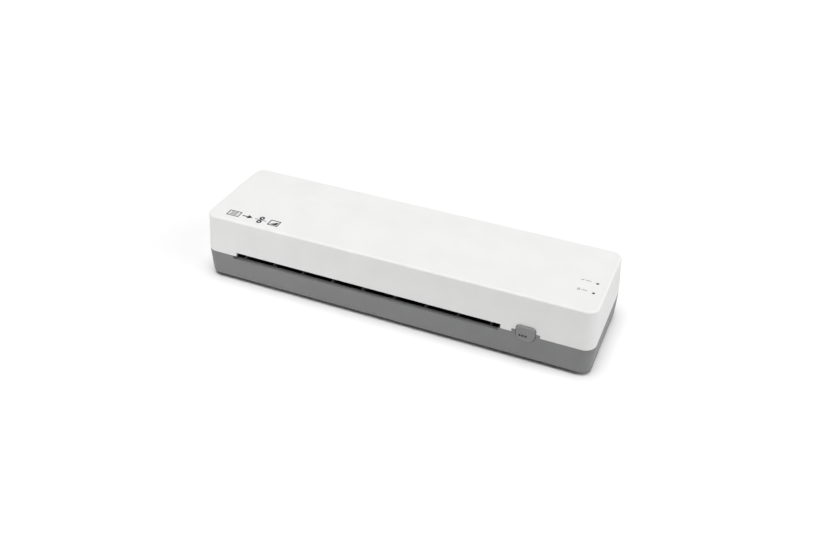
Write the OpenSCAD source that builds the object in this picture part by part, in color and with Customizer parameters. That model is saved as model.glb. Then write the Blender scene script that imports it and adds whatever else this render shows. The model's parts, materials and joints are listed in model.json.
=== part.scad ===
// Desktop pouch laminator, A4, free-standing.
// Frame: X along the length, front at -Y, Z up, Z = 0 at the underside of the feet,
// origin in the middle of the footprint.

/* [Body] */
// Length of the casing
body_len = 336.6; // [334:0.2:345]
// Depth of the casing at the seam between cover and base
body_dep = 91.5; // [91:0.5:94]
// Height above the table
body_h = 60; // [60:0.5:64]
// Height of the seam above the table
seam_z = 26; // [25.8:0.1:26.2]
// Corner radius seen from above
corner_r = 9.5; // [8:0.5:12]
// Rounding of the top edges
top_round = 2; // [1.5:0.1:2.5]
// Rounding of the bottom edges
bottom_round = 2.5; // [2:0.5:5]
// Draft of the cover's front wall in degrees
front_draft = 4.2; // [3:0.1:4.4]
// Draft of the cover's rear wall in degrees
rear_draft = 2.2; // [1.5:0.1:2.5]
// Draft of the cover's end walls in degrees
end_draft = 3.6; // [2:0.1:3.8]
// Draft of the base's walls in degrees
base_draft = 1.75; // [1:0.25:2]
// How far the top falls from the crease to the rear edge
rear_drop = 1.1; // [0.5:0.1:1.5]
// Where the crease across the top lies, from the middle
crease_y = 6.3; // [4:0.1:9]
// Height of the feet under the base
foot_h = 2.5; // [2:0.5:2.5]

/* [Walls] */
// Wall of the cover
cover_wall = 2.2; // [2:0.1:2.4]
// Wall of the base
base_wall = 2.4; // [2.2:0.1:2.6]

/* [Pouch slot] */
// Clear length of the slot
slot_len = 234.2; // [228:0.1:235]
// Middle of the slot along the length
slot_x = -21.4; // [-22:0.1:-20]
// Height of the slot above the seam
slot_rise = 3.75; // [3:0.05:4]
// Height of the sloping lip under the slot
scoop_h = 6.1; // [5:0.1:6.5]
// Number of guide ribs in the slot
rib_count = 9; // [5:2:11]
// Distance between guide ribs
rib_pitch = 27.4; // [20:0.2:28]

/* [Rollers] */
// Diameter of the silicone rollers
roller_d = 19.7; // [19:0.1:19.8]
// Distance between the roller axes
roller_pitch = 20; // [20:0.1:20.2]
// Height of the lower roller axis
roller_z = 17.4; // [17.3:0.1:17.6]
// Position of both roller axes behind the middle
roller_y = 18; // [17.8:0.1:18.2]
// Diameter of the roller shafts
shaft_d = 8; // [7:0.5:8]

/* [Release button] */
// Width of the release button
button_w = 15.6; // [14:0.2:16.4]
// Height of the release button
button_h = 13.5; // [13:0.5:15]

/* [Hidden] */

eps = 0.01;
fine = 48;
blend = 32;

// casing
hx = body_len / 2;
hy = body_dep / 2;
cover_h = body_h - seam_z;
base_floor_z = foot_h + base_wall;
cover_ceiling_z = body_h - cover_wall;
protrusion = 1.6;

// slot
slot_l = slot_x - slot_len / 2;
slot_r = slot_x + slot_len / 2;
scoop_l = slot_l - 3.4;
scoop_r = slot_r - 1.6;
lip_y = -hy + 3;
lip_z = seam_z - 2.34;
lip_edge = 0.6;
rib_back = lip_y + 9.5;
guide_nose_z = seam_z - 5.8;
tab_rise = 2.85;
rib_t = 1.2;
rib_mid = -22.6;
exit_rise = 3.5;
exit_fall = 3.5;

// side frames
plate_t = 1.2;
frame_l = -143;
frame_r = 101;
frame_z = 8;
frame_top = 50;
frame_front = -28;
frame_back = 39;
block_w = 14;
block_h = 12;
slot_w = 12;
slide_gap = 0.3;
upper_z = roller_z + roller_pitch;
roller_l = -139;
roller_rt = 97;
shaft_l = -148.6;
shaft_rt = 112;

// gears
gear_m = 1;
gear_t = 4;
gear_x = 105;
big_teeth = 20;
pinion_teeth = 12;
addendum = 0.85;
dedendum = 1.2;
backlash = 0.14;
pressure = 20;
idler_y = roller_y - gear_m * big_teeth;
idler_z = roller_z;
pinion_z = idler_z + gear_m * (big_teeth + pinion_teeth) / 2;
stud_r = 3;
run_gap = 0.05;
sleeve_r = 4.5;
groove_x = 127.8;
groove_w = 4.2;
flange_t = 1.2;

// release mechanism
button_x = 115.8;
button_z = seam_z + 1.05;
button_front = -hy - protrusion;
stem_z = 26.9;
stem_r = 2.5;
crank_in = 12;
crank_out = 17.14;
pivot_x = button_x + crank_in;
pivot_y = idler_y - crank_out;
crank_z = 25.2;
crank_t = 3.4;
crank_eye = 4;
button_gap = 0.4;

// motor and gear plate
motor_y = 8;
motor_z = 30.5;
motor_r = 25;
boss_r = 4.4;
gplate_x = 136.5;
gplate_front = -24;
ear_off = 27;

// heaters
heater_front = -20;
heater_d = 26;
heater_t = 4;
pouch_z = 27.4;
pouch_gap = 1.6;
lower_top = pouch_z - pouch_gap / 2;
upper_bottom = pouch_z + pouch_gap / 2;
heater_l = -141;
heater_r = 99;
element_t = 2.5;
clamp_t = 1;
holder_t = 5;

// fasteners and small parts
pillar_x = 156;
pillar_front = -35;
pillar_back = 37.8;
pillar_r = 3.9;
screw_r = 1.45;
foot_x = 138;
foot_y = 32;
foot_r = 7;
led_x = 157.2;
led_front_y = -18.9;
led_back_y = -6.1;
led_r = 1.1;
led_board_z = 53.4;
led_post = 5.2;
board_z = 14;
board_x = -156.2;
board_half = 6.6;
post_off = 4.4;
gland_x = -118;
gland_z = 13;
gland_bore = 3.5;
gland_in = 33;
rocker_x = 121;
rocker_z = 14;
rocker_tilt = 10;

// ---------- shared shapes ----------

// A disc whose rim is rounded, for the drafted shells
module edge_disc(r, edge) {
  rotate_extrude($fn = blend) translate([r - edge, 0]) circle(edge, $fn = 16);
}

// Outer form of the cover, or its cavity when t is the wall
module cover_form(t) {
  low = t > 0 ? 1 : 0;
  end_slope = tan(end_draft);
  rise = cover_h - top_round;
  top_x = hx - rise * end_slope - t;
  r_low = corner_r - t;
  r_top = corner_r - 1 - t;
  edge = max(top_round - t / 2, 0.8);
  top_z = body_h - t - edge;
  hull() {
    for (sx = [-1, 1], wall = [[-1, tan(front_draft), 0], [1, tan(rear_draft), rear_drop]])
      let (sy = wall[0], slope = wall[1], drop = wall[2]) {
        translate([sx * (hx - t + low * end_slope - r_low),
          sy * (hy - t + low * slope - r_low), seam_z - low])
          cylinder(r = r_low, h = eps, $fn = blend);
        translate([sx * (top_x - r_top), sy * (hy - rise * slope - t - r_top), top_z - drop])
          edge_disc(r_top, edge);
      }
    for (sx = [-1, 1])
      translate([sx * (top_x - edge), crease_y, top_z]) sphere(edge, $fn = 16);
  }
}

// Outer form of the base, or its cavity when t is the wall
module base_form(t) {
  high = t > 0 ? 1 : 0;
  slope = tan(base_draft);
  edge = max(bottom_round - t, 1);
  low_z = foot_h + t + edge;
  in = (seam_z - low_z) * slope + t;
  r_seam = corner_r - t;
  hull() {
    for (sx = [-1, 1], sy = [-1, 1]) {
      translate([sx * (hx - t + high * slope - r_seam), sy * (hy - t + high * slope - r_seam),
          seam_z + high - eps])
        cylinder(r = r_seam, h = eps, $fn = blend);
      translate([sx * (hx - in - r_seam), sy * (hy - in - r_seam), low_z]) edge_disc(r_seam, edge);
    }
  }
}

function corner_arc(cx, cy, r, a0) = [for (i = [0:6]) let (a = a0 + i * 15)
  [cx + r * cos(a), cy + r * sin(a)]];

// Rounded rectangle centred on the origin
function rounded_outline(w, h, r) = concat(
  corner_arc(w / 2 - r, h / 2 - r, r, 0), corner_arc(-w / 2 + r, h / 2 - r, r, 90),
  corner_arc(-w / 2 + r, -h / 2 + r, r, 180), corner_arc(w / 2 - r, -h / 2 + r, r, 270));

// Extrude a YZ outline along X from x0 to x1
module along_x(x0, x1) {
  translate([x0, 0, 0]) rotate([90, 0, 90]) linear_extrude(x1 - x0) children();
}

// Extrude an XZ outline along Y from y0 to y1
module along_y(y0, y1) {
  translate([0, y1, 0]) rotate([90, 0, 0]) linear_extrude(y1 - y0) children();
}

module box(x0, x1, y0, y1, z0, z1) {
  translate([x0, y0, z0]) cube([x1 - x0, y1 - y0, z1 - z0]);
}

module rod_x(x0, x1, y, z, r) {
  translate([x0, y, z]) rotate([0, 90, 0]) cylinder(r = r, h = x1 - x0, $fn = fine);
}

module rod_y(y0, y1, x, z, r) {
  translate([x, y1, z]) rotate([90, 0, 0]) cylinder(r = r, h = y1 - y0, $fn = fine);
}

module rod_z(z0, z1, x, y, r) {
  translate([x, y, z0]) cylinder(r = r, h = z1 - z0, $fn = fine);
}

// Half angle of an involute tooth at radius r
function base_angle(r, rb) = let (a = acos(min(1, rb / r))) tan(a) * 180 / PI - a;
function tooth_angle(r, rp) = let (rb = rp * cos(pressure))
  (PI / 2 * gear_m - backlash) / (2 * rp) * 180 / PI + base_angle(rp, rb) - base_angle(max(r, rb), rb);
function polar(r, a) = [r * cos(a), r * sin(a)];

function gear_outline(teeth) = let (
    rp = gear_m * teeth / 2, rb = rp * cos(pressure), root = rp - dedendum * gear_m,
    tip = rp + addendum * gear_m,
    radii = concat([root], [for (i = [0:4]) max(rb, root) + (tip - max(rb, root)) * i / 4]))
  [for (k = [0:teeth - 1]) let (mid = 360 / teeth * k)
    for (side = [-1, 1], i = [0:5]) let (r = radii[side < 0 ? i : 5 - i])
      polar(r, mid + side * tooth_angle(r, rp))];

// Gear blank with involute teeth, bored, its axis along X
module spur_gear(x0, x1, y, z, teeth, bore, phase, web) {
  difference() {
    translate([0, y, z]) along_x(x0, x1) rotate(phase) polygon(gear_outline(teeth));
    rod_x(x0 - 1, x1 + 1, y, z, bore);
    if (web)
      for (a = [0:60:300])
        translate([0, y, z]) rotate([a, 0, 0]) rod_x(x0 - 1, x1 + 1, 6.6, 0, 1.1);
  }
}

function unit(v) = v / norm(v);

// Points of a helix that rises along Z
function helix(r, turns, z0, z1, steps = 14) = [for (i = [0:turns * steps])
  [r * cos(360 * i / steps), r * sin(360 * i / steps), z0 + (z1 - z0) * i / (turns * steps)]];

// Round wire along a path that never runs straight up
module wire(path, r) {
  sides = 8;
  last = len(path) - 1;
  function ring(i) = let (d = unit(path[min(i + 1, last)] - path[max(i - 1, 0)]),
      n = unit(cross(d, [0, 0, 1])), b = cross(n, d))
    [for (s = [0:sides - 1]) path[i] + r * (cos(360 * s / sides) * n + sin(360 * s / sides) * b)];
  points = [for (i = [0:last]) each ring(i)];
  walls = [for (i = [0:last - 1], s = [0:sides - 1]) let (n = (s + 1) % sides)
    [i * sides + s, (i + 1) * sides + s, (i + 1) * sides + n, i * sides + n]];
  ends = [[for (s = [0:sides - 1]) s], [for (s = [0:sides - 1]) last * sides + sides - 1 - s]];
  polyhedron(points, concat(walls, ends));
}

// Pan head screw pointing up (dir = 1) or down (dir = -1) with its head's seat at z
module screw_z(x, y, z, length, dir, head = 2.7) {
  rod_z(min(z, z - dir * 2), max(z, z - dir * 2), x, y, head);
  rod_z(min(z, z + dir * length), max(z, z + dir * length), x, y, screw_r);
}

// ---------- casing ----------

module mouth_cut() {
  box(slot_l, slot_r, -hy - 5, -hy + 8, seam_z - eps, seam_z + slot_rise);
}

// Outline of the release button grown by g: tight upper corners, wide lower ones
function button_outline(g) = let (
    w = button_w / 2 + g, h = button_h / 2 + g, top = 3.2 + g, low = 5.5 + g)
  concat(corner_arc(w - top, h - top, top, 0), corner_arc(-w + top, h - top, top, 90),
    corner_arc(-w + low, -h + low, low, 180), corner_arc(w - low, -h + low, low, 270));

module button_window(gap) {
  translate([button_x, 0, button_z]) along_y(-hy - 5, -hy + 7) polygon(button_outline(gap));
}

module top_cover() {
  tab_w = 22.6;
  color("#f3f3f2") difference() {
    union() {
      difference() {
        cover_form(0);
        cover_form(cover_wall);
      }
      intersection() {
        cover_form(eps);
        union() {
          for (x = [-pillar_x, pillar_x], y = [pillar_front, pillar_back])
            rod_z(seam_z, body_h - 1, x, y, pillar_r);
          for (x = [-120, -60, 0, 60])
            box(x - 0.8, x + 0.8, -hy + 1, hy - 1, 54, body_h - 1);
          for (y = [led_front_y, led_back_y])
            rod_z(cover_ceiling_z - 1.6, body_h - 1, led_x, y, 2.6);
          rod_z(led_board_z, body_h - 1, led_x - led_post, (led_front_y + led_back_y) / 2, 2);
        }
      }
    }
    mouth_cut();
    box(slot_l - 2, slot_r + 2, hy - 8, hy + 5, seam_z - 1, seam_z + exit_rise);
    box(button_x - tab_w / 2, button_x + tab_w / 2, -hy - 5, -hy + 7, seam_z - 1, seam_z + tab_rise);
    button_window(0.35);
    for (x = [-pillar_x, pillar_x], y = [pillar_front, pillar_back])
      rod_z(seam_z - 1, seam_z + 14, x, y, screw_r);
    for (y = [led_front_y, led_back_y]) {
      rod_z(cover_ceiling_z - 3, body_h + 1, led_x, y, led_r);
      rod_z(cover_ceiling_z - 3, cover_ceiling_z, led_x, y, 1.9);
    }
  }
}

module scoop_cut() {
  intersection() {
    along_x(slot_l - 8, slot_r + 8)
      polygon([[-hy - 5, seam_z - scoop_h - 6.2], [-hy, seam_z - scoop_h], [lip_y, lip_z],
        [lip_y + 7, lip_z], [lip_y + 7, seam_z + 5], [-hy - 5, seam_z + 5]]);
    translate([(scoop_l + scoop_r) / 2, 0, seam_z]) along_y(-hy - 6, lip_y + 8)
      polygon(rounded_outline(scoop_r - scoop_l, 2 * scoop_h, 3));
  }
}

module slot_rib(x) {
  low = guide_nose_z + 0.4;
  along_x(x - rib_t / 2, x + rib_t / 2)
    polygon([[lip_y, low], [lip_y, lip_z + 0.2], [rib_back - 1, seam_z + 0.4],
      [rib_back, seam_z + 0.4], [rib_back, low]]);
}

module base_housing() {
  tab_w = 22.2;
  color("#7e7f80") difference() {
    union() {
      difference() {
        union() {
          difference() {
            base_form(0);
            base_form(base_wall);
          }
          // thick edge under the sloping front lip
          along_x(slot_l - 5, slot_r + 5)
            polygon([[-hy + 1.6, lip_z - 7], [-hy + 1.6, seam_z], [lip_y, seam_z],
              [lip_y, lip_z], [lip_y + lip_edge, lip_z], [lip_y + lip_edge, guide_nose_z - 0.6]]);
          // locating tongue inside the cover
          translate([0, 0, seam_z - 4.5]) difference() {
            linear_extrude(6.5) polygon(rounded_outline(body_len - 4.9, body_dep - 4.7, 7.1));
            translate([0, 0, -1]) linear_extrude(9)
              polygon(rounded_outline(body_len - 7.3, body_dep - 7.1, 5.9));
          }
          // tab beside the release button
          box(button_x - tab_w / 2, button_x + tab_w / 2, -hy + 0.12, -hy + 3.2, seam_z - 1,
            seam_z + tab_rise - 0.15);
        }
        scoop_cut();
        box(slot_l - 2, slot_r + 2, -hy - 5, rib_back + 1, seam_z, seam_z + 5);
        box(slot_l - 2, slot_r + 2, hy - 8, hy + 5, seam_z - exit_fall, seam_z + 5);
      }
      for (k = [0:rib_count - 1]) slot_rib(rib_mid + (k - (rib_count - 1) / 2) * rib_pitch);
      for (x = [-pillar_x, pillar_x], y = [pillar_front, pillar_back])
        rod_z(foot_h + 1, seam_z - 0.1, x, y, pillar_r);
      // bosses for frames, gear plate, crank pivot, guide and board
      for (x = [frame_l + 6, frame_r - 6], y = [frame_front + 6, frame_back - 5])
        rod_z(foot_h + 1, frame_z, x, y, 4);
      for (y = [gplate_front + 5, frame_back - 5])
        rod_z(foot_h + 1, frame_z, gplate_x + 7, y, 4);
      rod_z(foot_h + 1, crank_z - 1.2, pivot_x, pivot_y, 4.2);
      for (x = [board_x - post_off, board_x + post_off], y = [-26, 21])
        rod_z(foot_h + 1, board_z, x, y, 2.6);
    }
    button_window(0.35);
    box(button_x - 11, button_x + 11, -hy + 2.3, -hy + 7, seam_z - 12, seam_z + 9);
    for (x = [-pillar_x, pillar_x], y = [pillar_front, pillar_back]) {
      rod_z(foot_h - 1, 13.5, x, y, 3.2);
      rod_z(13, seam_z + 1, x, y, screw_r);
    }
    for (x = [frame_l + 6, frame_r - 6], y = [frame_front + 6, frame_back - 5])
      rod_z(foot_h + 1, frame_z + 1, x, y, screw_r);
    for (y = [gplate_front + 5, frame_back - 5])
      rod_z(foot_h + 1, frame_z + 1, gplate_x + 7, y, screw_r);
    for (x = [board_x - post_off, board_x + post_off], y = [-26, 21])
      rod_z(board_z - 6, board_z + 1, x, y, 1.2);
    rod_z(crank_z - 12, crank_z + 2, pivot_x, pivot_y, 2);
    for (x = [-foot_x, foot_x], y = [-foot_y, foot_y])
      rod_z(foot_h - 1, foot_h + 0.5, x, y, foot_r + 0.2);
    for (k = [0:19]) box(-98 + 8 * k, -95 + 8 * k, -12, 12, foot_h - 1, base_floor_z + 1);
    rod_y(hy - 6, hy + 3, gland_x, gland_z, 5.2);
    box(rocker_x - 9.6, rocker_x + 9.6, hy - 6, hy + 3, rocker_z - 6.5, rocker_z + 6.5);
  }
}

module rubber_feet() {
  color("#2b2b2b") for (x = [-foot_x, foot_x], y = [-foot_y, foot_y])
    translate([x, y, 0]) rotate_extrude($fn = fine)
      polygon([[0, 0], [foot_r - 1, 0], [foot_r, 1], [foot_r, foot_h + 0.5], [0, foot_h + 0.5]]);
}

module case_screws() {
  color("silver") for (x = [-pillar_x, pillar_x], y = [pillar_front, pillar_back]) difference() {
    screw_z(x, y, 13.5, 22, 1, 2.8);
    for (a = [0, 90]) translate([x, y, 11.4]) rotate(a) cube([3.2, 0.8, 1.4], center = true);
  }
}

// ---------- release button and crank ----------

module abs_button() {
  dot_r = 1;
  flange_y = -hy + 3.15;
  color("#858687") {
    hull() {
      translate([button_x, 0, button_z]) {
        along_y(button_front + 1.4, flange_y + 0.5) polygon(button_outline(0));
        along_y(button_front + 0.3, button_front + 0.5) polygon(button_outline(-1.5));
      }
    }
    for (k = [-1, 0, 1])
      rod_y(button_front, button_front + 1, button_x - 1.8 + 2.4 * k, button_z - 1.4, dot_r);
    translate([button_x, 0, button_z]) along_y(flange_y, flange_y + 1.5) polygon(button_outline(1.5));
    rod_y(flange_y + 1, pivot_y - crank_eye - button_gap, button_x, stem_z, stem_r);
  }
}

module button_guide() {
  foot_t = 2.5;
  guide_y = -36;
  color("#3a3a3a") difference() {
    union() {
      box(button_x - 6, button_x + 6, guide_y, guide_y + 5, base_floor_z, stem_z + 6);
      box(button_x - 10, button_x + 10, guide_y, guide_y + 9, base_floor_z, base_floor_z + foot_t);
      for (s = [-1, 1]) box(button_x + s * 5 - 0.8, button_x + s * 5 + 0.8, guide_y, guide_y + 8.5,
        base_floor_z, base_floor_z + 12);
    }
    rod_y(guide_y - 1, guide_y + 6, button_x, stem_z, stem_r + run_gap);
  }
}

module crank_outline() {
  circle(crank_eye + 0.6, $fn = fine);
  translate([-crank_in, 0]) circle(crank_eye, $fn = fine);
  translate([0, crank_out]) circle(3, $fn = fine);
  translate([-crank_in, -2.4]) square([crank_in, 4.8]);
  translate([-2.2, 0]) square([4.4, crank_out]);
}

module release_crank() {
  pin_low = idler_z + sleeve_r + 0.4;
  color("#d9d6cc") difference() {
    union() {
      translate([pivot_x, pivot_y, crank_z]) linear_extrude(crank_t) crank_outline();
      rod_z(pin_low, crank_z + 1, pivot_x, pivot_y + crank_out, 1.5);
    }
    rod_z(crank_z - 1, crank_z + crank_t + 1, pivot_x, pivot_y, 2 + run_gap);
  }
}

module crank_pivot_pin() {
  color("silver") {
    rod_z(crank_z - 12, crank_z + crank_t + 1.4, pivot_x, pivot_y, 2);
    rod_z(crank_z + crank_t + 0.4, crank_z + crank_t + 1.2, pivot_x, pivot_y, 3.6);
  }
}

module crank_spring() {
  gauge = 0.4;
  coil_r = 4.9;
  leg = 7;
  low = crank_z - 7;
  high = crank_z - 2;
  color("silver") translate([pivot_x, pivot_y, 0])
    wire(concat([[coil_r, -leg, low]], helix(coil_r, 4, low, high), [[coil_r, leg, high]]), gauge);
}

// ---------- indicators ----------

module light_pipe(y) {
  color("#565a5c") {
    rod_z(cover_ceiling_z - 3, body_h - 0.05, led_x, y, led_r);
    rod_z(cover_ceiling_z - 1.7, cover_ceiling_z, led_x, y, 1.9);
  }
}

module ready_lens() { light_pipe(led_back_y); }
module power_lens() { light_pipe(led_front_y); }

module led_board() {
  color("#2f6b3c") difference() {
    box(led_x - 7.7, led_x + 4.8, led_front_y - 5, led_back_y + 2.2, led_board_z - 1.5, led_board_z);
    rod_z(led_board_z - 3, led_board_z + 1, led_x - led_post, (led_front_y + led_back_y) / 2, 1.2);
  }
  color("white") for (y = [led_front_y, led_back_y]) rod_z(led_board_z, led_board_z + 1.3, led_x, y, 1.8);
}

// ---------- frames, rollers and bearings ----------

module side_frame(x, out) {
  inner = out > 0 ? x : x - plate_t;
  outer = inner + plate_t;
  tab_l = out > 0 ? x - 12 : x;
  slot_low = upper_z - block_h / 2 - 0.6;
  color("#b9bcc0") difference() {
    union() {
      box(inner, outer, frame_front, frame_back, frame_z, frame_top + plate_t);
      for (y = [frame_front, frame_back - 10])
        box(out > 0 ? x - 12 : inner, out > 0 ? outer : x + 12, y, y + 10, frame_z, frame_z + plate_t);
      box(inner - (out > 0 ? 4 : 2.6), outer + (out > 0 ? 2.6 : 4), roller_y - 8, roller_y + 8,
        frame_top, frame_top + plate_t);
    }
    rod_x(inner - 1, outer + 1, roller_y, roller_z, 6);
    box(inner - 1, outer + 1, roller_y - slot_w / 2, roller_y + slot_w / 2, slot_low, frame_top);
    for (y = [frame_front + 6, frame_back - 5])
      rod_z(frame_z - 1, frame_z + plate_t + 1, x - out * 6, y, screw_r);
    box(inner - 1, outer + 1, frame_front - 1, frame_front + 6, 32, frame_top + 5);
    if (out > 0) {
      rod_x(inner - 1, outer + 1, idler_y, idler_z, stud_r);
      rod_x(inner - 1, outer + 1, idler_y, pinion_z, stud_r + run_gap);
    }
  }
}

module side_frame_left() { side_frame(frame_l, -1); }
module side_frame_right() { side_frame(frame_r, 1); }

module roller_sleeve(z) {
  color("#d8772c") difference() {
    rod_x(roller_l, roller_rt, roller_y, z, roller_d / 2);
    rod_x(roller_l - 1, roller_rt + 1, roller_y, z, shaft_d / 2);
  }
}

module lower_roller_sleeve() { roller_sleeve(roller_z); }
module upper_roller_sleeve() { roller_sleeve(upper_z); }
module lower_roller_shaft() { color("silver") rod_x(shaft_l, shaft_rt, roller_y, roller_z, shaft_d / 2); }
module upper_roller_shaft() { color("silver") rod_x(shaft_l, shaft_rt, roller_y, upper_z, shaft_d / 2); }

// Flanged plain bush pushed into a side frame from outside
module lower_bush(x, out) {
  inner = out > 0 ? x - 2.4 : x - plate_t;
  flange = out > 0 ? x + plate_t : x - plate_t - 1.2;
  color("#e6e0cf") difference() {
    union() {
      rod_x(inner, inner + 3.6, roller_y, roller_z, 6);
      rod_x(flange, flange + 1.2, roller_y, roller_z, 8);
    }
    rod_x(x - 6, x + 6, roller_y, roller_z, shaft_d / 2 + run_gap);
  }
}

module lower_bush_left() { lower_bush(frame_l, -1); }
module lower_bush_right() { lower_bush(frame_r, 1); }

// Bearing block that slides up and down in the slot of a side frame
module bearing_block(x, out) {
  plate_l = out > 0 ? x : x - plate_t;
  left = plate_l - (out > 0 ? 3 : 2.3);
  right = plate_l + plate_t + (out > 0 ? 1.4 : 3.5);
  low = upper_z - block_h / 2;
  color("#e6e0cf") difference() {
    union() {
      box(left, right, roller_y - block_w / 2, roller_y + block_w / 2, low, low + block_h);
      rod_z(low + block_h, low + block_h + 1.8, plate_l + plate_t / 2, roller_y, 2);
    }
    for (s = [-1, 1])
      translate([plate_l + plate_t / 2, roller_y + s * (slot_w / 2 - slide_gap + 2), upper_z])
      cube([plate_t + 2 * slide_gap, 4, block_h + 2], center = true);
    rod_x(left - 1, right + 1, roller_y, upper_z, shaft_d / 2 + run_gap);
  }
}

module bearing_block_left() { bearing_block(frame_l, -1); }
module bearing_block_right() { bearing_block(frame_r, 1); }

module pressure_spring(x) {
  gauge = 0.45;
  color("silver") translate([x, roller_y, 0])
    wire(helix(2.7, 4, upper_z + block_h / 2 + gauge, frame_top - gauge), gauge);
}

module pressure_spring_left() { pressure_spring(frame_l - plate_t / 2); }
module pressure_spring_right() { pressure_spring(frame_r + plate_t / 2); }

module shaft_clip(z) {
  color("#8c8c8c") difference() {
    rod_x(-148.2, -147.4, roller_y, z, 6.2);
    rod_x(-149, -146, roller_y, z, shaft_d / 2);
  }
}

module lower_shaft_clip() { shaft_clip(roller_z); }
module upper_shaft_clip() { shaft_clip(upper_z); }

// ---------- drive ----------

half_tooth = 180 / big_teeth;

module lower_roller_gear() {
  color("#f0efe8") spur_gear(gear_x, gear_x + gear_t, roller_y, roller_z, big_teeth, shaft_d / 2, 0, true);
}

module upper_roller_gear() {
  color("#f0efe8")
    spur_gear(gear_x, gear_x + gear_t, roller_y, upper_z, big_teeth, shaft_d / 2, half_tooth, true);
}

module idler_stud() {
  color("silver") rod_x(frame_r, gplate_x + 1.2, idler_y, idler_z, stud_r);
}

module idler_sleeve() {
  rim = 6;
  groove_l = groove_x - groove_w / 2;
  groove_r = groove_x + groove_w / 2;
  color("#d9d6cc") difference() {
    union() {
      rod_x(gear_x - 1.4, groove_r + flange_t, idler_y, idler_z, sleeve_r);
      rod_x(gear_x - 1.4, gear_x - 0.4, idler_y, idler_z, rim);
      rod_x(gear_x + gear_t + 0.4, gear_x + gear_t + 1.4, idler_y, idler_z, rim);
      rod_x(groove_l - flange_t, groove_l, idler_y, idler_z, 7);
      rod_x(groove_r, groove_r + flange_t, idler_y, idler_z, 7);
    }
    rod_x(gear_x - 3, groove_r + 3, idler_y, idler_z, stud_r + run_gap);
  }
}

module idler_gear() {
  color("#f0efe8") spur_gear(gear_x, gear_x + gear_t, idler_y, idler_z, big_teeth,
    sleeve_r + run_gap, half_tooth, false);
}

module drive_pinion() {
  color("#f0efe8") spur_gear(gear_x - 0.5, gear_x + gear_t + 5.5, idler_y, pinion_z, pinion_teeth,
    stud_r, 0, false);
}

module motor_shaft() {
  color("silver") rod_x(frame_r + 0.1, gplate_x + 4, idler_y, pinion_z, stud_r);
}

module gear_motor() {
  face = gplate_x + plate_t;
  ear_r = 4.5;
  color("#a9adb1") difference() {
    union() {
      rod_x(face, face + 6, motor_y, motor_z, motor_r);
      rod_x(face + 6, face + 20, motor_y, motor_z, motor_r - 0.8);
      along_x(face, face + 1.5)
        translate([motor_y - ear_off, motor_z - ear_r]) square([2 * ear_off, 2 * ear_r]);
      for (s = [-1, 1]) rod_x(face, face + 1.5, motor_y + s * ear_off, motor_z, ear_r);
      rod_x(face - 4.5, face, idler_y, pinion_z, boss_r);
      box(face + 8, face + 18, motor_y - motor_r - 3, motor_y - 10, motor_z - 6, motor_z + 6);
    }
    rod_x(face - 6, gplate_x + 4.6, idler_y, pinion_z, stud_r + run_gap);
    for (s = [-1, 1]) rod_x(face - 1, face + 3, motor_y + s * ear_off, motor_z, screw_r);
  }
}

module gear_plate() {
  ear_r = 4.5;
  color("#b9bcc0") difference() {
    union() {
      box(gplate_x, gplate_x + plate_t, gplate_front, frame_back, frame_z, frame_top);
      for (y = [gplate_front, frame_back - 10])
        box(gplate_x, gplate_x + 12, y, y + 10, frame_z, frame_z + plate_t);
    }
    rod_x(gplate_x - 1, gplate_x + 3, idler_y, pinion_z, boss_r + run_gap);
    rod_x(gplate_x - 1, gplate_x + 3, idler_y, idler_z, stud_r);
    for (s = [-1, 1]) rod_x(gplate_x - 1, gplate_x + 3, motor_y + s * ear_off, motor_z, screw_r);
    for (y = [gplate_front + 5, frame_back - 5])
      rod_z(frame_z - 1, frame_z + 3, gplate_x + 7, y, screw_r);
    rod_x(gplate_x - 1, gplate_x + 3, 16, 42, 5);
  }
}

module motor_screws() {
  color("silver") for (s = [-1, 1]) {
    rod_x(gplate_x - 3, gplate_x + 4, motor_y + s * ear_off, motor_z, screw_r);
    rod_x(gplate_x - 2, gplate_x, motor_y + s * ear_off, motor_z, 2.7);
  }
}

module frame_screws() {
  seat = frame_z + plate_t;
  color("silver") {
    for (x = [frame_l + 6, frame_r - 6], y = [frame_front + 6, frame_back - 5])
      screw_z(x, y, seat, 5, -1);
    for (y = [gplate_front + 5, frame_back - 5]) screw_z(gplate_x + 7, y, seat, 5, -1);
  }
}

// ---------- heaters ----------

module heater_plate(z) {
  color("#cfd2d5") box(heater_l, heater_r, heater_front, heater_front + heater_d, z, z + heater_t);
}

module lower_heater_plate() { heater_plate(lower_top - heater_t); }
module upper_heater_plate() { heater_plate(upper_bottom); }

module element(z) {
  color("#b08d57") box(-125, 83, heater_front + 6, heater_front + 20, z, z + element_t);
}

module lower_heating_element() { element(lower_top - heater_t - element_t); }
module upper_heating_element() { element(upper_bottom + heater_t); }

module clamp_strip(z) {
  color("#b9bcc0") difference() {
    box(-127, 85, heater_front + 4, heater_front + 22, z, z + clamp_t);
    for (x = [-110, -66, 24, 68]) box(x - 6, x + 6, heater_front + 10, heater_front + 16, z - 1, z + 2);
  }
}

module lower_clamp_strip() { clamp_strip(lower_top - heater_t - element_t - clamp_t); }
module upper_clamp_strip() { clamp_strip(upper_bottom + heater_t + element_t); }

// Heat-proof holder that carries the ends of both plates on a side frame
module heater_holder(x, out) {
  inner = out > 0 ? x - holder_t : x;
  pocket_l = out > 0 ? inner - 1 : heater_l;
  pocket_r = out > 0 ? heater_r : x + holder_t + 1;
  back = heater_front + heater_d;
  color("#4a4038") difference() {
    box(inner, inner + holder_t, heater_front - 1.8, back + 1.5, lower_top - heater_t - 5,
      upper_bottom + heater_t + 5);
    box(pocket_l, pocket_r, heater_front, back, lower_top - heater_t, lower_top);
    box(pocket_l, pocket_r, heater_front, back, upper_bottom, upper_bottom + heater_t);
  }
}

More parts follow.
